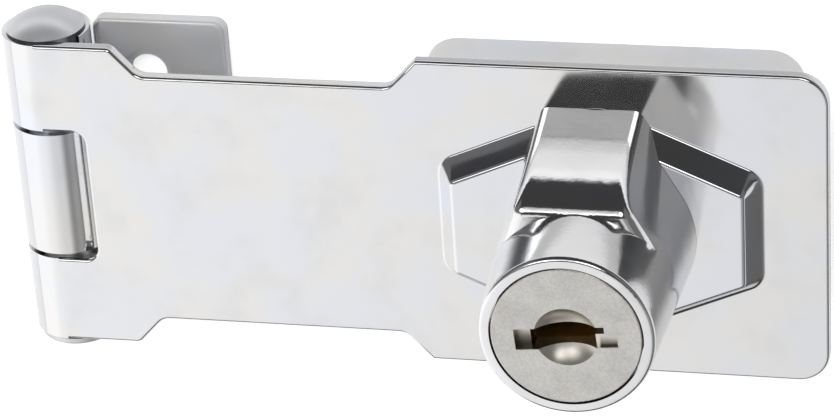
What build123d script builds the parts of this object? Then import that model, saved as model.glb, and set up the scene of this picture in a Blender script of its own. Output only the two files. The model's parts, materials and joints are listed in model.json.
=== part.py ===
from build123d import *
import os
from math import acos, atan, atan2, cos, degrees, radians, sin, tan

# Keyed hasp lock, in millimetres. It lies on its back: the mounting surface is z = 0, +Z points out
# of it, +X runs from the hinge to the free end of the strap, and +Y runs along the hinge pin.
# The origin is on the mounting surface, on the axis of the lock.

# Strap
pin_to_lock = 54.1
lock_to_free_end = 21.1
strap_width = 32.2
neck_width = 26.5
strap_sheet = 1.4
free_corner_radius = 3.0
neck_root_corner_radius = 1.6
shoulder_corner_radius = 0.9
hinge_shoulder_length = 7.4
hinge_taper_length = 2.6
neck_end_to_lock = 19.8
lock_taper_length = 2.6
strap_edge_radius = 0.35

# Hinge
knuckle_radius = 4.24
leaf_knuckle_width = 13.0
knuckle_side_gap = 0.5
window_reach = 4.0
window_corner_radius = 1.2
curl_end_angle = 25.0
pin_running_gap = 0.06
pin_end_gap = 0.25
pin_head_radius = 3.8
pin_dome_height = 1.5
pin_tail_head_radius = 3.9
pin_tail_head_thickness = 0.7

# Hinge leaf
leaf_sheet = 1.4
leaf_width = 31.6
leaf_length = 16.8
leaf_relief = 3.6
leaf_corner_radius = 1.2
leaf_hole_radius = 1.8
leaf_sink_radius = 2.6
leaf_edge_radius = 0.4
leaf_hole_from_pin = 8.7
leaf_hole_spacing = 19.9

# Keeper pan
keeper_length = 36.0
keeper_width = 29.0
keeper_sheet = 1.4
keeper_corner_radius = 3.2
keeper_edge_radius = 1.0
keeper_draft_angle = 3.0
keeper_under_strap_gap = 0.08
screw_spacing = 25.0
screw_well_radius = 3.3
screw_well_wall = 1.0
screw_hole_radius = 1.8
turn_slot_side_gap = 0.4
turn_slot_end_gap = 0.6
tail_hole_gap = 0.5

# Raised boss of the strap
boss_half_length = 15.2
boss_offset = -0.25
boss_shoulder_half_width = 5.75
boss_apex = 12.4
boss_height = 2.5
boss_slope_run = 1.5
boss_corner_radius = 2.2
boss_apex_radius = 6.0
boss_rim_radius = 0.55
boss_foot_radius = 0.4

# Lock housing
housing_top = 29.36
housing_top_radius = 8.0
housing_base_radius = 9.1
housing_rim_radius = 0.45
hood_reach = 11.95
hood_end_width = 9.2
hood_end_offset = -0.8
hood_wall_lean = 8.0
hood_ledge_height = 22.2
hood_round_rise = 7.4
hood_round_depth = 3.2
hood_edge_radius = 1.2
housing_seat_gap = 0.05
neck_radius = 6.0
neck_flat_half_width = 5.3
neck_hole_gap = 0.1

# Plug
head_radius = 6.85
head_side_gap = 0.15
head_thickness = 2.2
head_edge_radius = 0.15
core_radius = 6.0
core_length = 14.4
core_running_gap = 0.06
end_play = 0.05
dish_radius = 2.9
dish_depth = 1.3
key_blade_thickness = 1.2
key_rib_thickness = 0.9
key_left_reach = 4.7
key_right_reach = 4.6
key_rib_reach = 3.5
key_throat_left_reach = 3.4
key_throat_right_reach = 2.6
key_step_depth = 1.0
key_depth = 14.6
keyway_lean = 5.0
stop_lug_angle = 24.0
stop_lug_height = 1.0
stop_lug_reach = 0.6
stop_lug_direction = 225.0
turn_angle = 90.0
stop_spare_angle = 1.5

# Wafers and their springs
wafer_count = 5
wafer_pitch = 2.3
first_wafer_depth = 2.6
wafer_thickness = 1.0
wafer_width = 7.0
wafer_slot_gap = 0.05
wafer_travel = 0.9
wafer_window_length = 7.9
wafer_window_width = 2.7
wafer_cuts = 3
wafer_cut_step = 0.25
wafer_ear_length = 1.0
wafer_ear_reach = 1.2
wafer_spring_length = 2.6
spring_coil_radius = 0.4
spring_wire_radius = 0.1
spring_turns = 4
groove_gap = 0.15

# Tail, turning bar and fasteners
tail_radius = 3.1
tail_running_gap = 0.1
drive_radius = 2.4
drive_flat_half_width = 1.8
drive_gap = 0.05
stop_washer_radius = 3.9
stop_washer_thickness = 0.55
bar_length = 15.0
bar_width = 4.8
bar_thickness = 2.2
bar_under_keeper_gap = 0.3
bar_hub_radius = 3.4
bar_clamp_gap = 0.2
bolt_washer_radius = 2.5
bolt_washer_thickness = 0.5
bolt_washer_split = 0.5
screw_head_radius = 2.5
screw_head_thickness = 1.5
screw_shank_radius = 1.45
screw_shank_gap = 0.05
screw_shank_length = 4.2
screw_tip_gap = 0.8
screw_slot_width = 0.8
screw_slot_depth = 0.7
lock_washer_thickness = 0.45
lock_washer_radius = 7.6
lock_washer_teeth = 12
lock_washer_tooth_width = 0.9
lock_washer_tooth_depth = 0.9
nut_across_flats = 15.0
nut_thickness = 1.95
nut_thread_gap = 0.05

# How near an edge must be to a height to count as lying at it, and the pull of a quarter round
pick_tolerance = 0.05
quarter_round_pull = 0.5523

# Sizes that follow
pin_x = -pin_to_lock
pin_z = knuckle_radius
strap_top = 2 * knuckle_radius
strap_under = strap_top - strap_sheet
strap_bore_radius = knuckle_radius - strap_sheet
leaf_bore_radius = knuckle_radius - leaf_sheet
pin_radius = min(strap_bore_radius, leaf_bore_radius) - pin_running_gap
window_half_width = leaf_knuckle_width / 2 + knuckle_side_gap
keeper_top = strap_under - keeper_under_strap_gap
keeper_under = keeper_top - keeper_sheet
boss_top = strap_top + boss_height
boss_under = boss_top - strap_sheet
boss_slope_angle = degrees(atan(boss_slope_run / boss_height))
housing_height = housing_top - boss_top
housing_draft_angle = degrees(atan((housing_base_radius - housing_top_radius) / housing_height))
head_bore_radius = head_radius + head_side_gap
head_seat = housing_top - head_thickness - end_play
core_bore_radius = core_radius + core_running_gap
core_bottom = head_seat - core_length
core_bore_bottom = core_bottom - end_play
tail_bore_radius = tail_radius + tail_running_gap
nut_bottom = boss_under - lock_washer_thickness - nut_thickness
wafer_slot_half_width = wafer_width / 2 + wafer_slot_gap
wafer_end_radius = core_radius - wafer_slot_gap
bar_top = keeper_under - bar_under_keeper_gap
bar_bottom = bar_top - bar_thickness
stop_washer_top = nut_bottom - end_play
stop_washer_bottom = stop_washer_top - stop_washer_thickness
tail_end = bar_bottom + bar_clamp_gap
bolt_washer_bottom = bar_bottom - bolt_washer_thickness
screw_head_bottom = bolt_washer_bottom - screw_head_thickness
housing_foot_radius = housing_base_radius + boss_height * tan(radians(housing_draft_angle))


def side_slab(profile, low_y, high_y):
    """A profile drawn in X and Z, made as thick as the stretch from low_y to high_y."""
    return Pos(0, high_y, 0) * extrude(Plane.XZ * profile, amount=high_y - low_y)


def prism(face, low_z, high_z):
    """A face drawn in X and Y, made as tall as the stretch from low_z to high_z."""
    return Pos(0, 0, low_z) * extrude(face, amount=high_z - low_z)


def disc(radius, low_z, high_z):
    """A round disc or rod about the axis of the lock."""
    return prism(Circle(radius), low_z, high_z)


def flatted_disc(radius, flat_half_width, low_z, high_z):
    """A rod about the axis of the lock with a flat on its +Y and its -Y side."""
    return prism(Circle(radius) & Rectangle(4 * radius, 2 * flat_half_width), low_z, high_z)


def edges_near(edges, heights):
    """The edges whose middle lies at one of the given heights."""
    return [e for e in edges if min(abs(e.center().Z - z) for z in heights) < pick_tolerance]


def curl_profile(bore_radius, slit_side):
    """The rolled knuckle seen along the pin, open between the sheet and the end of the roll."""
    ring = Circle(knuckle_radius) - Circle(bore_radius)
    end = radians(curl_end_angle)
    far = 2 * knuckle_radius
    slit = Polygon(
        (0, 0),
        (far * cos(end), slit_side * far * sin(end)),
        (far, slit_side * far),
        (0, slit_side * far),
        align=None,
    )
    return Pos(pin_x, pin_z) * (ring - slit)


def strap_outline():
    """Outline of the flat strap: wide at the hinge, a neck, and wide under the lock."""
    wide = strap_width / 2
    narrow = neck_width / 2
    shoulder_x = pin_x + hinge_shoulder_length
    neck_start_x = shoulder_x + hinge_taper_length
    lock_taper_x = -neck_end_to_lock + lock_taper_length
    half = [
        (pin_x, wide),
        (shoulder_x, wide),
        (neck_start_x, narrow),
        (-neck_end_to_lock, narrow),
        (lock_taper_x, wide),
        (lock_to_free_end, wide),
    ]
    mirrored = [(x, -y) for x, y in reversed(half)]
    face = make_face(Polyline(half + mirrored, close=True))
    ends = face.vertices().group_by(Axis.X)[-1]
    face = fillet(ends, free_corner_radius)
    neck = [v for v in face.vertices() if abs(abs(v.Y) - narrow) < pick_tolerance]
    face = fillet(neck, neck_root_corner_radius)
    shoulder = [v for v in face.vertices() if abs(v.X - shoulder_x) < pick_tolerance]
    return fillet(shoulder, shoulder_corner_radius)


def boss_outline(inset):
    """Six-sided outline of the raised boss about its own middle, drawn in by an even inset."""
    face = Polygon(
        (boss_half_length, boss_shoulder_half_width),
        (0, boss_apex),
        (-boss_half_length, boss_shoulder_half_width),
        (-boss_half_length, -boss_shoulder_half_width),
        (0, -boss_apex),
        (boss_half_length, -boss_shoulder_half_width),
        align=None,
    )
    if inset:
        face = offset(face, amount=-inset, kind=Kind.INTERSECTION)
    side_corners = [v for v in face.vertices() if abs(v.X) > boss_half_length / 2]
    face = fillet(side_corners, boss_corner_radius)
    apexes = [v for v in face.vertices() if abs(v.X) < strap_sheet]
    return fillet(apexes, boss_apex_radius)


def boss_form(outset, low_z, high_z):
    """The boss as a solid with sloped sides, grown evenly by outset, between two heights."""
    drawn_in = (low_z - strap_top) * tan(radians(boss_slope_angle)) - outset
    form = extrude(boss_outline(drawn_in), amount=high_z - low_z, taper=boss_slope_angle)
    return Pos(boss_offset, 0, low_z) * form


def with_boss(sheet, outset):
    """A sheet with the boss raised on it, rounded at its rim and at its foot."""
    boss = boss_form(outset, strap_top - strap_edge_radius, boss_top + outset)
    form = sheet + fillet(boss.edges().group_by(Axis.Z)[-1], boss_rim_radius)
    foot = [e for e in edges_near(form.edges(), (strap_top,)) if abs(e.center().Y) < boss_apex]
    foot = [e for e in foot if abs(e.center().X) < boss_half_length + boss_slope_run]
    return fillet(foot, boss_foot_radius - outset)


def make_strap():
    """One pressed and rolled sheet: two outer knuckles, the neck and the raised boss."""
    plate = prism(strap_outline(), strap_under, strap_top)
    window = Rectangle(2 * window_reach, 2 * window_half_width)
    window = fillet(window.vertices(), window_corner_radius)
    plate -= Pos(pin_x, 0, 0) * prism(window, 0, strap_top + strap_sheet)
    rims = [e for e in plate.edges() if e.center().X > pin_x + pick_tolerance]
    strap = fillet(edges_near(rims, (strap_top, strap_under)), strap_edge_radius)
    knuckle_width = strap_width / 2 - window_half_width
    for low_y in (-strap_width / 2, window_half_width):
        strap += side_slab(curl_profile(strap_bore_radius, 1), low_y, low_y + knuckle_width)
    wall = strap_sheet / cos(radians(boss_slope_angle))
    strap = with_boss(strap, 0)
    strap -= boss_form(-wall, strap_under, boss_under)
    hole_radius = neck_radius + neck_hole_gap
    hole_flat = neck_flat_half_width + neck_hole_gap
    strap -= flatted_disc(hole_radius, hole_flat, boss_under - strap_sheet, boss_top + strap_sheet)
    return strap


def make_hinge_leaf():
    """The leaf that is screwed down: a flat with two sunk holes and the middle knuckle."""
    flat_length = leaf_length - leaf_relief
    flat = Rectangle(flat_length, leaf_width)
    flat = fillet(flat.vertices(), leaf_corner_radius)
    plate = prism(flat, 0, leaf_sheet)
    plate = fillet(edges_near(plate.edges(), (leaf_sheet,)), leaf_edge_radius)
    leaf = Pos(pin_x + leaf_relief + flat_length / 2, 0, 0) * plate
    tongue_length = leaf_relief + flat_length / 2
    tongue = Rectangle(tongue_length, leaf_knuckle_width)
    leaf += Pos(pin_x + tongue_length / 2, 0, 0) * prism(tongue, 0, leaf_sheet)
    half = leaf_knuckle_width / 2
    leaf += side_slab(curl_profile(leaf_bore_radius, -1), -half, half)
    sink_depth = leaf_sink_radius - leaf_hole_radius
    for side in (-1, 1):
        spot = Pos(pin_x + leaf_hole_from_pin, side * leaf_hole_spacing / 2, 0)
        leaf -= spot * prism(Circle(leaf_hole_radius), -leaf_sheet, 2 * leaf_sheet)
        cone = Cone(leaf_hole_radius, leaf_sink_radius, sink_depth)
        leaf -= spot * Pos(0, 0, leaf_sheet - sink_depth / 2) * cone
    return leaf


def make_hinge_pin():
    """Turned pin: a domed head at the +Y end and a thin riveted head at the other."""
    reach = strap_width / 2 + pin_end_gap
    sphere_radius = (pin_head_radius**2 + pin_dome_height**2) / (2 * pin_dome_height)
    rod = extrude(Circle(pin_radius), amount=2 * reach)
    dome = Pos(0, 0, 2 * reach + pin_dome_height - sphere_radius) * Sphere(sphere_radius)
    dome &= Pos(0, 0, 2 * reach) * extrude(Circle(pin_head_radius), amount=pin_dome_height)
    tail_head = extrude(Circle(pin_tail_head_radius), amount=-pin_tail_head_thickness)
    tail_head = fillet(tail_head.edges().group_by(Axis.Z)[0], pin_tail_head_thickness / 2)
    return Pos(pin_x, -reach, pin_z) * Rot(-90, 0, 0) * (rod + dome + tail_head)


def make_keeper():
    """Drawn pan: tapered wall, turn slot in its top, and two sunk wells for the screws."""
    outside = RectangleRounded(keeper_length, keeper_width, keeper_corner_radius)
    outer = extrude(outside, amount=keeper_top, taper=keeper_draft_angle)
    outer = fillet(outer.edges().group_by(Axis.Z)[-1], keeper_edge_radius)
    inside_length = keeper_length - 2 * keeper_sheet
    inside_width = keeper_width - 2 * keeper_sheet
    inside = RectangleRounded(inside_length, inside_width, keeper_corner_radius - keeper_sheet)
    keeper = outer - extrude(inside, amount=keeper_under, taper=keeper_draft_angle)
    slot_length = bar_length + 2 * turn_slot_end_gap
    slot = Circle(stop_washer_radius + tail_hole_gap)
    slot += Rot(0, 0, 90) * SlotOverall(slot_length, bar_width + 2 * turn_slot_side_gap)
    keeper -= prism(slot, keeper_under / 2, keeper_top + keeper_sheet)
    well_outside = Circle(screw_well_radius + screw_well_wall)
    for side in (-1, 1):
        spot = Pos(side * screw_spacing / 2, 0, 0)
        keeper += spot * prism(well_outside, 0, keeper_top - keeper_edge_radius)
        keeper -= spot * prism(Circle(screw_well_radius), keeper_sheet, keeper_top + keeper_sheet)
        keeper -= spot * prism(Circle(screw_hole_radius), -keeper_sheet, keeper_top)
    return keeper


def hood_side_wall(half_width):
    """Where a side wall leaves the round foot of the housing as a tangent, and a point past its end."""
    end = Vector(half_width, hood_reach)
    wall_normal = atan2(end.Y, end.X) - acos(housing_foot_radius / end.length)
    touch = Vector(housing_foot_radius * cos(wall_normal), housing_foot_radius * sin(wall_normal))
    beyond_end = end + (end - touch).normalized() * hood_round_depth
    return [(core_bore_radius, 0), (touch.X, touch.Y), (beyond_end.X, beyond_end.Y)]


def hood_wedge():
    """Side walls of the buttress: they leave the round body as tangents and close in towards +Y."""
    right = hood_side_wall(hood_end_width / 2 + hood_end_offset)
    left = [(-x, y) for x, y in reversed(hood_side_wall(hood_end_width / 2 - hood_end_offset))]
    face = make_face(Polyline(right + left, close=True))
    return Pos(0, 0, strap_top) * extrude(face, amount=housing_top - strap_top, taper=housing_draft_angle)


def hood_side():
    """Side view of the buttress: a leaning end wall that rounds over into a level ledge."""
    draft = tan(radians(hood_wall_lean))
    round_start = hood_ledge_height - hood_round_rise
    wall_y = hood_reach - (round_start - strap_top) * draft
    ledge_y = wall_y - hood_round_depth
    rise = quarter_round_pull * hood_round_rise
    crown = Bezier(
        (wall_y, round_start),
        (wall_y - rise * draft, round_start + rise),
        (ledge_y + quarter_round_pull * hood_round_depth, hood_ledge_height),
        (ledge_y, hood_ledge_height),
    )
    rest = Polyline(
        (ledge_y, hood_ledge_height),
        (-hood_reach, hood_ledge_height),
        (-hood_reach, strap_top),
        (hood_reach, strap_top),
        (wall_y, round_start),
    )
    profile = Plane.YZ * make_face(crown + rest)
    return Pos(-hood_reach, 0, 0) * extrude(profile, amount=2 * hood_reach)


def make_hood():
    """The buttress as a solid of its own, with its outer edges rounded."""
    hood = hood_wedge() & hood_side()
    rim = []
    for edge in hood.edges():
        middle = edge @ 0.5
        at_foot = middle.Z < strap_top + pick_tolerance
        inside_body = middle.Y < housing_top_radius / 2
        at_touch = edge.bounding_box().size.Z > hood_round_rise and middle.Y < hood_reach / 2
        across_end = abs(middle.X) < hood_end_width / 4
        if not (at_foot or inside_body or at_touch or across_end):
            rim.append(edge)
    return fillet(rim, hood_edge_radius)


def stop_sector(inner, outer, low_angle, high_angle, low_z, high_z):
    """A ring sector about the axis of the lock, as a lug or as the groove that it runs in."""
    ring = Circle(outer) - Circle(inner)
    far = 3 * outer
    middle = (low_angle + high_angle) / 2
    corners = [(far * cos(radians(a)), far * sin(radians(a))) for a in (low_angle, middle, high_angle)]
    return prism(ring & Polygon((0, 0), *corners, align=None), low_z, high_z)


def make_lock_housing():
    """One casting: tapered body with its buttress, seated on the boss, and the neck for the nut."""
    body = extrude(Circle(housing_foot_radius), amount=housing_top - strap_top, taper=housing_draft_angle)
    body = Pos(0, 0, strap_top) * fillet(body.edges().group_by(Axis.Z)[-1], housing_rim_radius)
    body += make_hood()
    seat = Rectangle(2 * boss_half_length + 4 * boss_slope_run, strap_width)
    body -= with_boss(prism(seat, strap_under, strap_top), housing_seat_gap)
    body += flatted_disc(neck_radius, neck_flat_half_width, nut_bottom, boss_top + strap_sheet)
    body -= disc(head_bore_radius, head_seat, housing_top + strap_sheet)
    body -= disc(core_bore_radius, core_bore_bottom, housing_top)
    body -= disc(tail_bore_radius, 0, housing_top)
    lean = Rot(0, 0, keyway_lean)
    travel_end = stop_lug_direction + turn_angle
    spare = stop_lug_angle / 2 + stop_spare_angle
    body -= lean * stop_sector(
        core_radius / 2,
        core_radius + stop_lug_reach + groove_gap,
        stop_lug_direction - spare,
        travel_end + spare,
        head_seat - stop_lug_height - groove_gap,
        head_seat + end_play,
    )
    groove_length = wafer_end_radius + wafer_travel + groove_gap
    groove_half_width = wafer_slot_half_width + groove_gap
    groove_top = head_seat - first_wafer_depth + wafer_thickness
    groove_bottom = groove_top - (wafer_count - 1) * wafer_pitch - 2 * wafer_thickness
    groove = Pos(groove_length / 2, 0) * Rectangle(groove_length, 2 * groove_half_width)
    for direction in (0, turn_angle):
        body -= lean * Rot(0, 0, direction) * prism(groove, groove_bottom, groove_top)
    return body


def keyway(left_reach, right_reach, low_z, high_z):
    """The stepped key slot: a blade, and beside it a rib that stops short at the right."""
    outline = [
        (-left_reach, -key_blade_thickness),
        (right_reach, -key_blade_thickness),
        (right_reach, 0),
        (key_rib_reach, 0),
        (key_rib_reach, key_rib_thickness),
        (-left_reach, key_rib_thickness),
    ]
    return prism(make_face(Polyline(outline, close=True)), low_z, high_z)


def key_throat(low_z, high_z):
    """The part of the key slot that goes on through the face and down the core."""
    return keyway(key_throat_left_reach, key_throat_right_reach, low_z, high_z)


def make_plug_face():
    """Hard face of the plug, with its dish and the keyway, which is shallow at both ends."""
    low = head_seat + end_play
    face = disc(head_radius, low, housing_top)
    face = fillet(face.edges().group_by(Axis.Z)[-1], head_edge_radius)
    sphere_radius = (dish_radius**2 + dish_depth**2) / (2 * dish_depth)
    face -= Pos(0, 0, housing_top - dish_depth + sphere_radius) * Sphere(sphere_radius)
    step = housing_top - key_step_depth
    face -= keyway(key_left_reach, key_right_reach, step, housing_top + strap_sheet)
    face -= key_throat(low - end_play, housing_top)
    return Rot(0, 0, keyway_lean) * face


def wafer_height(index):
    """Height of the middle of a wafer above the mounting surface."""
    return head_seat - first_wafer_depth - index * wafer_pitch


def wafer_ear(low_x, high_x, reach, thickness):
    """The block beside the wafer where its spring pushes, or the pocket that it runs in."""
    low_y = wafer_width / 2 - wafer_slot_gap
    high_y = wafer_width / 2 + reach
    return Pos((low_x + high_x) / 2, (low_y + high_y) / 2, 0) * Box(high_x - low_x, high_y - low_y, thickness)


def make_plug_core():
    """Turning core: wafer slots with spring pockets, keyway, stop lug and the drive tail."""
    top = head_seat + end_play
    core = disc(core_radius, core_bottom, top)
    half_lug = stop_lug_angle / 2
    core += stop_sector(
        core_radius / 2,
        core_radius + stop_lug_reach,
        stop_lug_direction - half_lug,
        stop_lug_direction + half_lug,
        head_seat - stop_lug_height,
        top,
    )
    core -= key_throat(top - key_depth + head_thickness, top + head_thickness)
    slot_thickness = wafer_thickness + 2 * wafer_slot_gap
    slot = Box(4 * core_radius, 2 * wafer_slot_half_width, slot_thickness)
    ear_stop = wafer_ear_length + wafer_travel + wafer_slot_gap
    pocket = wafer_ear(-wafer_spring_length, ear_stop, wafer_ear_reach + wafer_slot_gap, slot_thickness)
    for index in range(wafer_count):
        core -= Pos(0, 0, wafer_height(index)) * (slot + pocket)
    core = Rot(0, 0, keyway_lean) * core
    core += disc(tail_radius, stop_washer_top, core_bottom)
    core += flatted_disc(drive_radius, drive_flat_half_width, tail_end, stop_washer_top)
    hole_end = bar_bottom + screw_shank_length + screw_tip_gap
    return core - disc(screw_shank_radius + screw_shank_gap, 0, hole_end)


def make_wafer(index):
    """A flat tumbler: a window for the key and an ear for its spring, level with the core at rest."""
    cut = (index % wafer_cuts - (wafer_cuts - 1) / 2) * wafer_cut_step
    plate = Circle(wafer_end_radius) & Rectangle(4 * core_radius, wafer_width)
    plate -= Pos(cut, 0) * Rectangle(wafer_window_length, wafer_window_width)
    wafer = extrude(plate, amount=wafer_thickness / 2, both=True)
    wafer += wafer_ear(0, wafer_ear_length, wafer_ear_reach, wafer_thickness)
    return Rot(0, 0, keyway_lean) * Pos(0, 0, wafer_height(index)) * wafer


def make_wafer_spring():
    """Small coil spring, drawn pressed to its seated length between the pocket and the ear."""
    coil_length = wafer_spring_length - 4 * spring_wire_radius
    path = Helix(pitch=coil_length / spring_turns, height=coil_length, radius=spring_coil_radius)
    section = Plane(origin=path @ 0, z_dir=path % 0) * Circle(spring_wire_radius)
    coil = sweep(section, path=path, is_frenet=True)
    across = wafer_width / 2 + wafer_ear_reach / 2
    seated = Pos(-wafer_spring_length + 2 * spring_wire_radius, across, 0) * Rot(0, 90, 0) * coil
    return Rot(0, 0, keyway_lean) * seated


def drive_hole():
    """The flatted hole that takes the tail of the core."""
    return flatted_disc(drive_radius + drive_gap, drive_flat_half_width + drive_gap, 0, housing_top)


def make_stop_washer():
    """Flat washer on the flats of the tail, running against the end of the neck."""
    return disc(stop_washer_radius, stop_washer_bottom, stop_washer_top) - drive_hole()


def make_t_bolt():
    """The bar that turns under the keeper, with the hub that sets it off from the stop washer."""
    bar = prism(Circle(bar_length / 2) & Rectangle(bar_width, 2 * bar_length), bar_bottom, bar_top)
    bar += disc(bar_hub_radius, bar_top - bar_thickness / 2, stop_washer_bottom)
    return bar - drive_hole()


def make_bolt_washer():
    """Split spring washer under the head of the screw."""
    ring = Circle(bolt_washer_radius) - Circle(screw_shank_radius + screw_shank_gap)
    ring -= Pos(bolt_washer_radius, 0) * Rectangle(2 * bolt_washer_radius, bolt_washer_split)
    return prism(ring, bolt_washer_bottom, bar_bottom)


def make_bolt_screw():
    """Slotted screw that holds the bar on the tail."""
    head = disc(screw_head_radius, screw_head_bottom, bolt_washer_bottom)
    head = fillet(head.edges().group_by(Axis.Z)[0], screw_slot_depth / 2)
    head += disc(screw_shank_radius, bolt_washer_bottom, bar_bottom + screw_shank_length)
    slot = Box(4 * screw_head_radius, screw_slot_width, 2 * screw_slot_depth)
    return head - Pos(0, 0, screw_head_bottom) * slot


def make_lock_washer():
    """Washer with outer teeth between the nut and the underside of the boss."""
    ring = Circle(lock_washer_radius) - Circle(neck_radius + neck_hole_gap)
    for index in range(lock_washer_teeth):
        notch = Pos(lock_washer_radius, 0) * Rectangle(2 * lock_washer_tooth_depth, lock_washer_tooth_width)
        ring -= Rot(0, 0, index * 360 / lock_washer_teeth) * notch
    return prism(ring, boss_under - lock_washer_thickness, boss_under)


def make_clamp_nut():
    """Thin six-sided nut on the neck of the housing."""
    outline = RegularPolygon(nut_across_flats / 2, 6, major_radius=False)
    nut = prism(outline, nut_bottom, nut_bottom + nut_thickness)
    return nut - disc(neck_radius + nut_thread_gap, 0, housing_top)


def build():
    """Every piece by its node name."""
    pieces = {
        "hinge_leaf": make_hinge_leaf(),
        "hinge_pin": make_hinge_pin(),
        "keeper": make_keeper(),
        "strap": make_strap(),
        "lock_housing": make_lock_housing(),
        "lock_washer": make_lock_washer(),
        "clamp_nut": make_clamp_nut(),
        "plug_face": make_plug_face(),
        "plug_core": make_plug_core(),
        "stop_washer": make_stop_washer(),
        "t_bolt": make_t_bolt(),
        "bolt_washer": make_bolt_washer(),
        "bolt_screw": make_bolt_screw(),
    }
    coil = make_wafer_spring()
    for index in range(wafer_count):
        pieces[f"wafer_{index + 1}"] = make_wafer(index)
        pieces[f"wafer_spring_{index + 1}"] = Pos(0, 0, wafer_height(index)) * coil
    return pieces


os.makedirs("parts", exist_ok=True)
for name, piece in build().items():
    export_step(piece, f"parts/{name}.step")
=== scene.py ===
import bpy, bmesh, json, math
from mathutils import Matrix, Vector

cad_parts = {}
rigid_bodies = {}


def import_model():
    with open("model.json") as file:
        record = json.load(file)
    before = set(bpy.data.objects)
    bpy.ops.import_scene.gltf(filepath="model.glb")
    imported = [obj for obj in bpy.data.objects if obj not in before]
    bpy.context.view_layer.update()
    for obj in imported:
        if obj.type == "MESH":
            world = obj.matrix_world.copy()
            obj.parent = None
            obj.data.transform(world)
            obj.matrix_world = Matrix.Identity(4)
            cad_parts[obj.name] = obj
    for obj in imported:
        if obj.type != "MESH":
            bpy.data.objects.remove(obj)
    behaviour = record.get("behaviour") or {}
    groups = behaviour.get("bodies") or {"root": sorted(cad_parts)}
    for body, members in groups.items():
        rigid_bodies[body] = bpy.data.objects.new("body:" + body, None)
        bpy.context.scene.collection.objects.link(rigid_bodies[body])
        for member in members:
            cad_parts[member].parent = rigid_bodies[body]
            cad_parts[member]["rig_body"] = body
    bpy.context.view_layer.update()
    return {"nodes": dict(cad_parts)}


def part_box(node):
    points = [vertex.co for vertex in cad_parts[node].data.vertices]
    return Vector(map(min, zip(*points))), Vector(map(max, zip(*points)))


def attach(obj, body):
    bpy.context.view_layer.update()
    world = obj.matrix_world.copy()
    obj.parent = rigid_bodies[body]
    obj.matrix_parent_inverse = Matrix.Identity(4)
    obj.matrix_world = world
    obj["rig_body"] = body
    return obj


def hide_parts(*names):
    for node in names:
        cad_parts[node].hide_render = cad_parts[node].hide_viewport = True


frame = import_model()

# Hinge leaf: the plated steel leaf that is screwed to the fixed side.
# It is blanked from sheet, its middle tongue is rolled over the pin, and its two holes
# are sunk for screw heads. The zinc plating is bright on the roll and duller on the flat.
MM = 0.001
merge_reach = 0.002 * MM
crease = math.radians(28)
flat_weight = 80


def add(tree, kind, links=(), **settings):
    """A node with its settings, and with links given as (input, socket or value)."""
    made = tree.nodes.new(kind)
    for key, value in settings.items():
        setattr(made, key, value)
    for name, value in links:
        if hasattr(value, "is_output"):
            tree.links.new(value, made.inputs[name])
        else:
            made.inputs[name].default_value = value
    return made


def join(tree, kind, first, second):
    """Two values joined by a sum such as ADD, MULTIPLY or MAXIMUM."""
    return add(tree, "ShaderNodeMath", [(0, first), (1, second)], operation=kind).outputs[0]


def axes_of(tree, place):
    """The X, Y and Z of a place or a direction."""
    return add(tree, "ShaderNodeSeparateXYZ", [("Vector", place)]).outputs


def spread(tree, value, low, high, to_low, to_high):
    """Stretches a value from one range to another, eased at both ends."""
    return add(tree, "ShaderNodeMapRange", [
        ("Value", value), ("From Min", low), ("From Max", high),
        ("To Min", to_low), ("To Max", to_high)], interpolation_type="SMOOTHSTEP").outputs["Result"]


def noise(tree, place, scale, detail, rough):
    """Noise over the metal, with its scale in patches per metre."""
    return add(tree, "ShaderNodeTexNoise", [
        ("Vector", place), ("Scale", scale), ("Detail", detail), ("Roughness", rough)]).outputs["Fac"]


def tinted(tone, tint):
    """A tone with its red, green and blue each multiplied."""
    return tuple(color * share for color, share in zip(tone, tint))


def blend_color(tree, share, first, second):
    """Mixes two colours by a share."""
    made = add(tree, "ShaderNodeMix", data_type="RGBA")
    for index, value in ((0, share), (6, first), (7, second)):
        if hasattr(value, "is_output"):
            tree.links.new(value, made.inputs[index])
        else:
            made.inputs[index].default_value = (*value, 1)
    return made.outputs[2]


def bumps(tree, height, strength, depth, under=None):
    """A bump of a real depth in metres, on top of another one if given."""
    links = [("Height", height), ("Strength", strength), ("Distance", depth)]
    if under is not None:
        links.append(("Normal", under))
    return add(tree, "ShaderNodeBump", links).outputs["Normal"]


def start_metal(name, color, roughness):
    """A metal with its own shader, the object's coordinates, and nothing yet linked."""
    material = bpy.data.materials.new(name)
    material.use_nodes = True
    tree = material.node_tree
    shader = tree.nodes["Principled BSDF"]
    shader.inputs["Metallic"].default_value = 1.0
    shader.inputs["Base Color"].default_value = (*color, 1)
    shader.inputs["Roughness"].default_value = roughness
    place = tree.nodes.new("ShaderNodeTexCoord").outputs["Object"]
    return material, tree, shader, place


def parts_of(material):
    """The tree, the shader and the object's axes of a metal that is already made."""
    tree = material.node_tree
    place = tree.nodes["Texture Coordinate"].outputs["Object"]
    return tree, tree.nodes["Principled BSDF"], axes_of(tree, place)


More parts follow.
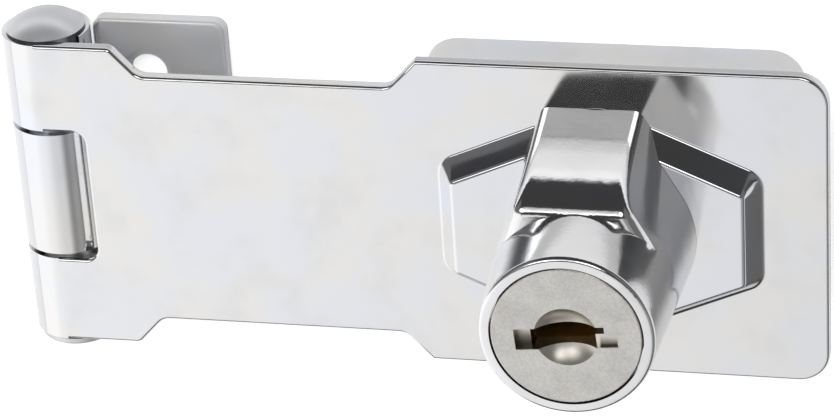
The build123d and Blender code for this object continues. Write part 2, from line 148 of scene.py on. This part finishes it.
def plate_metal(name, tone, roughness, grain_depth=0.0012 * MM):
    """Bright zinc plate: clouds of cool and warm tint, duller spots, and a faint rolled waviness."""
    material, tree, shader, place = start_metal(name, tone, roughness)
    tint = noise(tree, place, scale=110, detail=3, rough=0.55)
    cloud = noise(tree, place, scale=210, detail=3, rough=0.5)
    wave = noise(tree, place, scale=90, detail=1, rough=0.4)
    grain = noise(tree, place, scale=1500, detail=2, rough=0.6)
    cool = tinted(tone, (0.965, 0.985, 1.025))
    warm = tinted(tone, (1.01, 0.995, 0.965))
    dull = tinted(tone, (0.93, 0.93, 0.93))
    color = blend_color(tree, spread(tree, tint, 0.36, 0.64, 0, 1), cool, warm)
    color = blend_color(tree, spread(tree, cloud, 0.45, 0.75, 0, 0.8), color, dull)
    tree.links.new(color, shader.inputs["Base Color"])
    gloss = spread(tree, cloud, 0.3, 0.7, roughness * 0.85, roughness * 1.35)
    tree.links.new(gloss, shader.inputs["Roughness"])
    normal = bumps(tree, wave, strength=0.5, depth=0.02 * MM)
    normal = bumps(tree, grain, strength=0.5, depth=grain_depth, under=normal)
    tree.links.new(normal, shader.inputs["Normal"])
    return material


def leaf_metal(name, tone, roughness):
    """Zinc plate with a finer grain, polished and all metal on the roll, duller on the flat."""
    fine_grain = 0.0006 * MM
    roll_end = -50.0 * MM
    flat_start = -49.5 * MM
    flat_metal_share = 0.5
    roll_polish = 0.35
    material = plate_metal(name, tone, roughness, fine_grain)
    tree, shader, axes = parts_of(material)
    metal_share = spread(tree, axes["X"], roll_end, flat_start, 1, flat_metal_share)
    polish = spread(tree, axes["X"], roll_end, flat_start, roll_polish, 1)
    gloss = shader.inputs["Roughness"].links[0].from_socket
    tree.links.new(metal_share, shader.inputs["Metallic"])
    tree.links.new(join(tree, "MULTIPLY", gloss, polish), shader.inputs["Roughness"])
    return material


def smoothed_copy(node, name, material):
    """A node's solid with its corners joined, its curves shaded smooth and its flats kept flat."""
    mesh = frame["nodes"][node].data.copy()
    mesh.name = name
    work = bmesh.new()
    work.from_mesh(mesh)
    bmesh.ops.remove_doubles(work, verts=work.verts, dist=merge_reach)
    bmesh.ops.dissolve_degenerate(work, edges=work.edges, dist=merge_reach / 10)
    for face in work.faces:
        face.smooth = True
    work.to_mesh(mesh)
    work.free()
    if mesh.has_custom_normals:
        mesh.attributes.remove(mesh.attributes["custom_normal"])
    mesh.set_sharp_from_angle(angle=crease)
    piece = bpy.data.objects.new(name, mesh)
    bpy.context.scene.collection.objects.link(piece)
    flats = piece.modifiers.new("flats", "WEIGHTED_NORMAL")
    flats.keep_sharp = True
    flats.weight = flat_weight
    bpy.context.view_layer.update()
    depsgraph = bpy.context.evaluated_depsgraph_get()
    final = bpy.data.meshes.new_from_object(piece.evaluated_get(depsgraph), depsgraph=depsgraph)
    piece.modifiers.clear()
    piece.data = final
    final.materials.clear()
    final.materials.append(material)
    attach(piece, frame["nodes"][node]["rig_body"])
    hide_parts(node)
    return piece


zinc_tone = (0.80, 0.80, 0.81)
leaf_plate = leaf_metal("leaf_plate", zinc_tone, 0.34)
smoothed_copy("hinge_leaf", "leaf", leaf_plate)

# Hinge pin: a turned steel pin with a domed head, riveted over at the far end.
# It is plated with the rest, a little duller, and turns in the strap's two knuckles.
pin_metal_share = 0.7
pin_plate = plate_metal("pin_plate", (0.76, 0.76, 0.76), 0.4)
pin_plate.node_tree.nodes["Principled BSDF"].inputs["Metallic"].default_value = pin_metal_share
smoothed_copy("hinge_pin", "pin", pin_plate)

# Keeper: a pan drawn from sheet, with sunk wells for two screws and the slot for the bar.
# It is screwed to the fixed side and is plated as the strap is.
plate = plate_metal("bright_plate", zinc_tone, 0.085)
smoothed_copy("keeper", "keeper_pan", plate)

# Strap: one steel sheet with two rolled knuckles and a raised six-sided boss pressed up in it.
# It swings on the pin and carries the lock, and its bright plating mirrors the housing.
smoothed_copy("strap", "strap_sheet", plate)


# Lock housing: die-cast zinc, polished and chromed, seated on the boss and held by a nut.
# The chrome is nearly a mirror, with the faint waviness of a polished casting.
def chrome_metal(name, tone, roughness):
    """Chrome on a polished casting: a mirror with soft waves and a grain of tiny pits."""
    material, tree, shader, place = start_metal(name, tone, roughness)
    wave = noise(tree, place, scale=260, detail=2, rough=0.45)
    pits = noise(tree, place, scale=2800, detail=3, rough=0.6)
    haze = noise(tree, place, scale=180, detail=3, rough=0.5)
    gloss = spread(tree, haze, 0.3, 0.7, roughness * 0.7, roughness * 1.5)
    tree.links.new(gloss, shader.inputs["Roughness"])
    dim = tinted(tone, (0.94, 0.94, 0.94))
    color = blend_color(tree, spread(tree, haze, 0.35, 0.65, 0, 1), tone, dim)
    tree.links.new(color, shader.inputs["Base Color"])
    normal = bumps(tree, wave, strength=0.7, depth=0.02 * MM)
    normal = bumps(tree, pits, strength=0.8, depth=0.008 * MM, under=normal)
    tree.links.new(normal, shader.inputs["Normal"])
    return material


chrome = chrome_metal("cast_chrome", (0.84, 0.84, 0.85), 0.08)
smoothed_copy("lock_housing", "housing", chrome)

# Lock washer and nut: a stamped toothed washer of spring steel and a thin plated nut.
# They sit on the housing's neck under the boss and hold the housing to the strap.
spring_steel = plate_metal("spring_steel", (0.45, 0.45, 0.46), 0.36)
smoothed_copy("lock_washer", "toothed_washer", spring_steel)
smoothed_copy("clamp_nut", "nut", plate)

# Plug face: the hard steel face of the plug, ground and softly blasted, with a dished keyway.
# It turns with the core behind it, to which it is staked. The keyway's two steps have painted
# shade on their near side, below the face, fading across them.
face_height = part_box("plug_face")[1][2]
cut_low = face_height - 0.03 * MM
cut_high = face_height - 0.01 * MM
# Colour and greatest share of the painted shade on the keyway steps.
painted_shade_color = (0.10, 0.085, 0.07)
painted_shade_most = 0.85


def satin_metal(name, tone, roughness):
    """Satin metal: a fine blasted grain with duller patches, smoother and warmer below the face."""
    material, tree, shader, place = start_metal(name, tone, roughness)
    grain = noise(tree, place, scale=4200, detail=3, rough=0.7)
    patch = noise(tree, place, scale=500, detail=3, rough=0.5)
    dark = tinted(tone, (0.84, 0.84, 0.84))
    worn = tinted(tone, (1.06, 1.04, 0.98))
    height = axes_of(tree, place)["Z"]
    gloss = spread(tree, patch, 0.3, 0.7, roughness * 0.85, roughness * 1.15)
    cut_polish = spread(tree, height, cut_low, cut_high, 0.8, 1)
    tree.links.new(join(tree, "MULTIPLY", gloss, cut_polish), shader.inputs["Roughness"])
    color = blend_color(tree, spread(tree, grain, 0.3, 0.7, 0, 1), dark, tone)
    face_share = spread(tree, height, cut_low, cut_high, 0, 1)
    tree.links.new(blend_color(tree, face_share, worn, color), shader.inputs["Base Color"])
    normal = bumps(tree, grain, strength=0.7, depth=0.006 * MM)
    tree.links.new(normal, shader.inputs["Normal"])
    return material


def plain_size(tree, value):
    """A value without its sign."""
    return add(tree, "ShaderNodeMath", [(0, value)], operation="ABSOLUTE").outputs[0]


def paint_shade_on_steps(material):
    """Darkens the two keyway steps on their near side with painted shade, below the face, fading across
    them.
    """
    tree, shader, axes = parts_of(material)
    aside = plain_size(tree, axes["X"])
    # Painted shade: the colour darkens on the near side of the steps and fades towards the far side.
    painted_shade = spread(tree, axes["Y"], -0.9 * MM, 0.4 * MM, painted_shade_most, 0)
    past_slot = spread(tree, aside, 2.9 * MM, 3.1 * MM, 0, 1)
    below_face = spread(tree, axes["Z"], face_height - 0.2 * MM, face_height - 0.1 * MM, 1, 0)
    before_end = spread(tree, aside, 4.8 * MM, 5.0 * MM, 1, 0)
    for inside in (past_slot, below_face, before_end):
        painted_shade = join(tree, "MULTIPLY", painted_shade, inside)
    unshaded_color = shader.inputs["Base Color"].links[0].from_socket
    tree.links.new(blend_color(tree, painted_shade, unshaded_color, painted_shade_color), shader.inputs["Base Color"])


satin = satin_metal("satin_steel", (0.73, 0.71, 0.68), 0.42)
# Paints shade into the plug face's colour on the keyway steps.
paint_shade_on_steps(satin)
plug_front = smoothed_copy("plug_face", "plug_front", satin)
step_floor = face_height - 1.0 * MM
floor_reach = 0.01 * MM
right_step_start = 2.5 * MM
right_step_rise = 0.55 * MM
for corner in plug_front.data.vertices:
    if abs(corner.co.z - step_floor) < floor_reach and corner.co.x > right_step_start:
        corner.co.z += right_step_rise

# Plug core: turned and slotted brass behind the face, seen only down the keyway.
# It turns in the housing's bore and carries the wafers, the bar and the screw.
brass = satin_metal("brass", (0.62, 0.49, 0.26), 0.42)
smoothed_copy("plug_core", "core", brass)

# Wafers: five stamped brass tumblers with a window for the key.
# They slide across the core, each in its own slot.
wafer_count = 5
for index in range(1, wafer_count + 1):
    smoothed_copy(f"wafer_{index}", f"tumbler_{index}", brass)

# Wafer springs: one small coil wound from steel wire behind the ear of each wafer.
# Each lies pressed in its pocket of the core, and all five turn with it.
wafer_pitch = 2.3 * MM
lean = math.radians(5)
coil_radius = 0.4 * MM
coil_turns = 4.0
coil_points = 16
seated_length = 2.2 * MM
wire_radius = 0.1 * MM
wire_sides = 8


def coil_tree(material):
    """Node tree of a row of equal coils, with their sizes as named inputs."""
    tree = bpy.data.node_groups.new("wafer_spring_row", "GeometryNodeTree")
    tree.interface.new_socket("Geometry", in_out="OUTPUT", socket_type="NodeSocketGeometry")
    for name, kind in (
            ("Coils", "NodeSocketInt"), ("Row Step", "NodeSocketVector"), ("Start", "NodeSocketVector"),
            ("Turn", "NodeSocketVector"), ("Turns", "NodeSocketFloat"), ("Length", "NodeSocketFloat"),
            ("Coil Radius", "NodeSocketFloat"), ("Wire Radius", "NodeSocketFloat")):
        tree.interface.new_socket(name, in_out="INPUT", socket_type=kind)
    given = tree.nodes.new("NodeGroupInput").outputs
    spiral = add(tree, "GeometryNodeCurveSpiral", [
        ("Resolution", coil_points), ("Rotations", given["Turns"]), ("Start Radius", given["Coil Radius"]),
        ("End Radius", given["Coil Radius"]), ("Height", given["Length"])])
    round_wire = add(tree, "GeometryNodeCurvePrimitiveCircle", [
        ("Resolution", wire_sides), ("Radius", given["Wire Radius"])])
    wire = add(tree, "GeometryNodeCurveToMesh", [
        ("Curve", spiral.outputs["Curve"]), ("Profile Curve", round_wire.outputs["Curve"]),
        ("Fill Caps", True)])
    smooth = add(tree, "GeometryNodeSetShadeSmooth", [("Geometry", wire.outputs["Mesh"])])
    row = add(tree, "GeometryNodeMeshLine", [
        ("Count", given["Coils"]), ("Start Location", given["Start"]), ("Offset", given["Row Step"])])
    placed = add(tree, "GeometryNodeInstanceOnPoints", [
        ("Points", row.outputs["Mesh"]), ("Instance", smooth.outputs["Geometry"]),
        ("Rotation", given["Turn"])])
    real = add(tree, "GeometryNodeRealizeInstances", [("Geometry", placed.outputs["Instances"])])
    dressed_row = add(tree, "GeometryNodeSetMaterial", [("Geometry", real.outputs["Geometry"])])
    dressed_row.inputs["Material"].default_value = material
    end = tree.nodes.new("NodeGroupOutput")
    tree.links.new(dressed_row.outputs["Geometry"], end.inputs["Geometry"])
    return tree


first_low, first_high = (Vector(corner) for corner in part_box("wafer_spring_1"))
first_middle = (first_low + first_high) / 2
along = Vector((math.cos(lean), math.sin(lean), 0))
coil_sizes = {
    "Coils": wafer_count, "Row Step": (0, 0, -wafer_pitch),
    "Start": tuple(first_middle - along * seated_length / 2), "Turn": (0, math.pi / 2, lean),
    "Turns": coil_turns, "Length": seated_length,
    "Coil Radius": coil_radius, "Wire Radius": wire_radius}
springs = bpy.data.objects.new("spring_row", bpy.data.meshes.new("spring_row"))
bpy.context.scene.collection.objects.link(springs)
coils = springs.modifiers.new("coils", "NODES")
coils.node_group = coil_tree(spring_steel)
for item in coils.node_group.interface.items_tree:
    if item.in_out == "INPUT":
        coils[item.identifier] = coil_sizes[item.name]
bpy.context.view_layer.update()
depsgraph = bpy.context.evaluated_depsgraph_get()
coil_mesh = bpy.data.meshes.new_from_object(springs.evaluated_get(depsgraph), depsgraph=depsgraph)
springs.modifiers.clear()
springs.data = coil_mesh
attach(springs, "plug_body")
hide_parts(*[f"wafer_spring_{index}" for index in range(1, wafer_count + 1)])

# Stop washer, turning bar, split washer and screw: what hangs on the tail of the core.
# The bar is pressed steel and plated, and the slotted screw holds all of it on the tail.
smoothed_copy("stop_washer", "tail_washer", spring_steel)
smoothed_copy("t_bolt", "turning_bar", plate)
smoothed_copy("bolt_washer", "split_washer", spring_steel)
smoothed_copy("bolt_screw", "tail_screw", plate)

# Floor: a plain white table. The camera sees it white with a faint shadow of the lock. The metal
# sees it dimmer far off, brighter past the hinge and just before a dark card on the far side,
# and softly shaded behind the lock.
table_half = 900 * MM
table_drop = 0.2 * MM
near_glow = 0.20
far_glow = 0.08
hinge_glow = 0.14
card_glow = 0.12
camera_glow = 0.66
shade_share = 0.36
card_black = (0.05, 0.05, 0.055, 1)
table_mesh = bpy.data.meshes.new("table_top")
table_corners = [
    (side_x * table_half, side_y * table_half, -table_drop)
    for side_x, side_y in ((-1, -1), (1, -1), (1, 1), (-1, 1))]
table_mesh.from_pydata(table_corners, [], [(0, 1, 2, 3)])
table_top = bpy.data.objects.new("table_top", table_mesh)
bpy.context.scene.collection.objects.link(table_top)
table_white = bpy.data.materials.new("table_white")
table_white.use_nodes = True
tree = table_white.node_tree
tree.nodes.clear()
place = tree.nodes.new("ShaderNodeTexCoord").outputs["Object"]
table_axes = axes_of(tree, place)
distance = add(tree, "ShaderNodeVectorMath", [(0, place)], operation="LENGTH").outputs["Value"]
path = tree.nodes.new("ShaderNodeLightPath").outputs
mirrored = join(tree, "MAXIMUM", path["Is Glossy Ray"], path["Is Transmission Ray"])
fading = spread(tree, distance, 150 * MM, 400 * MM, near_glow, far_glow)
by_hinge = spread(tree, table_axes["X"], -64 * MM, -58.5 * MM, hinge_glow, 0)
before_card = spread(tree, table_axes["Y"], 33 * MM, 37 * MM, 0, card_glow)
for brighter in (by_hinge, before_card):
    fading = join(tree, "ADD", fading, brighter)
seen_glow = join(tree, "MULTIPLY", path["Is Camera Ray"], camera_glow)
glow_level = join(tree, "ADD", join(tree, "MULTIPLY", mirrored, fading), seen_glow)
shade_start = spread(tree, table_axes["Y"], 18.5 * MM, 20.5 * MM, 0, shade_share)
shade_end = spread(tree, table_axes["Y"], 24 * MM, 27 * MM, shade_share, 0)
shade = join(tree, "MINIMUM", shade_start, shade_end)
card = spread(tree, table_axes["Y"], 41 * MM, 47 * MM, 0, 1)
dark_share = join(tree, "MULTIPLY", mirrored, join(tree, "MAXIMUM", card, shade))
matt = add(tree, "ShaderNodeBsdfDiffuse", [("Color", (0.8, 0.8, 0.8, 1))])
glow = add(tree, "ShaderNodeEmission", [("Color", (1, 1, 1, 1)), ("Strength", glow_level)])
lit = add(tree, "ShaderNodeAddShader", [(0, matt.outputs[0]), (1, glow.outputs[0])])
black = add(tree, "ShaderNodeEmission", [("Color", card_black), ("Strength", 1.0)])
surface = add(tree, "ShaderNodeMixShader", [
    (0, dark_share), (1, lit.outputs[0]), (2, black.outputs[0])])
add(tree, "ShaderNodeOutputMaterial", [("Surface", surface.outputs[0])])
table_mesh.materials.append(table_white)

# Fill lamp: a soft panel above the far side that lights the matt share of the table and the leaf.
# The mirror-like metal does not show it.
fill = bpy.data.lights.new("fill", "AREA")
fill.energy = 0.95
fill.size = 0.25
fill_lamp = bpy.data.objects.new("fill", fill)
bpy.context.scene.collection.objects.link(fill_lamp)
fill_lamp.visible_glossy = False
fill_place = Vector((-0.09, 0.32, 0.30))
fill_turn = fill_place.to_track_quat("Z", "Y").to_matrix().to_4x4()
fill_lamp.matrix_world = Matrix.Translation(fill_place) @ fill_turn

# Light: a wide soft diffuser above and towards the near side, open at the hinge end, and on the
# far side a bright gap with a brighter line in it and two soft lamps. The rest of the room is dim,
# a little brighter at its two ends, so the metal has contrast.
diffuser_way = (0.25, -0.70, 0.67)
diffuser_falls = ((-0.45, 0.15, 1.0, 0.72), (0.22, 0.52, 1.0, 0.3))
gap_edges = (
    ("Z", 0.64, 0.67, 0, 1), ("Z", 0.905, 0.93, 1, 0), ("Y", 0.20, 0.32, 0, 1), ("X", 0.15, 0.32, 1, 0))
line_gain = 2.6
soft_lamp_ways = ((-0.416, 0.44, 0.795), (0.18, 0.595, 0.783))
soft_lamp_level = 2.2
room_middle = 0.05
room_ends = 0.17
light_gain = 1.02


def toward(tree, way, middle):
    """How nearly a direction points at the middle of a lamp or diffuser."""
    facing = add(tree, "ShaderNodeVectorMath", [(0, way), (1, middle)], operation="DOT_PRODUCT")
    return facing.outputs["Value"]


world = bpy.data.worlds.new("studio")
bpy.context.scene.world = world
world.use_nodes = True
tree = world.node_tree
tree.nodes.clear()
way = tree.nodes.new("ShaderNodeTexCoord").outputs["Generated"]
way_axes = axes_of(tree, way)
cap = spread(tree, toward(tree, way, diffuser_way), 0.64, 0.70, 0, 1)
above = spread(tree, way_axes["Z"], 0.40, 0.58, 0, 1)
hinge_side = spread(tree, way_axes["X"], -0.45, -0.30, 1, 0)
near_side = spread(tree, way_axes["Y"], -0.15, 0.1, 1, 0)
hinge_open = join(tree, "MULTIPLY", hinge_side, near_side)
diffuser = join(tree, "MAXIMUM", join(tree, "MULTIPLY", cap, above), hinge_open)
for low, high, to_low, to_high in diffuser_falls:
    fall = spread(tree, way_axes["X"], low, high, to_low, to_high)
    diffuser = join(tree, "MULTIPLY", diffuser, fall)
gap = spread(tree, way_axes["Z"], 0.66, 0.86, 0.45, 0.9)
bright_line = spread(tree, way_axes["Z"], 0.868, 0.895, 1, line_gain)
gap = join(tree, "MULTIPLY", gap, bright_line)
for axis, low, high, to_low, to_high in gap_edges:
    edge = spread(tree, way_axes[axis], low, high, to_low, to_high)
    gap = join(tree, "MULTIPLY", gap, edge)
level = join(tree, "MAXIMUM", diffuser, gap)
for lamp_way in soft_lamp_ways:
    soft_lamp = spread(tree, toward(tree, way, lamp_way), 0.970, 0.990, 0, soft_lamp_level)
    level = join(tree, "MAXIMUM", level, soft_lamp)
room = spread(tree, plain_size(tree, way_axes["X"]), 0.45, 0.68, room_middle, room_ends)
strength = add(tree, "ShaderNodeMath", [
    (0, level), (1, light_gain), (2, room)], operation="MULTIPLY_ADD").outputs[0]
sky = add(tree, "ShaderNodeBackground", [("Color", (1, 1, 1, 1)), ("Strength", strength)])
add(tree, "ShaderNodeOutputWorld", [("Surface", sky.outputs[0])])

# Camera: a long lens high above the table on the far side, set at the photograph's angle.
# Its right and up are directions in the shared frame, and its place is in metres.
scene = bpy.context.scene
lens = bpy.data.cameras.new("camera")
lens.lens = 153.76
lens.sensor_width = 36
lens.sensor_fit = "HORIZONTAL"
lens.clip_start = 10 * MM
camera = bpy.data.objects.new("camera", lens)
scene.collection.objects.link(camera)
camera_place = Vector((0.052167, 0.162186, 0.295358))
right = Vector((0.97697, -0.05933, -0.20495))
up = Vector((-0.04787, 0.87512, -0.48152))
back = right.cross(up).normalized()
camera_turn = Matrix((right, up, back)).transposed().to_4x4()
camera.matrix_world = Matrix.Translation(camera_place) @ camera_turn
scene.camera = camera
scene.view_settings.view_transform = "Standard"
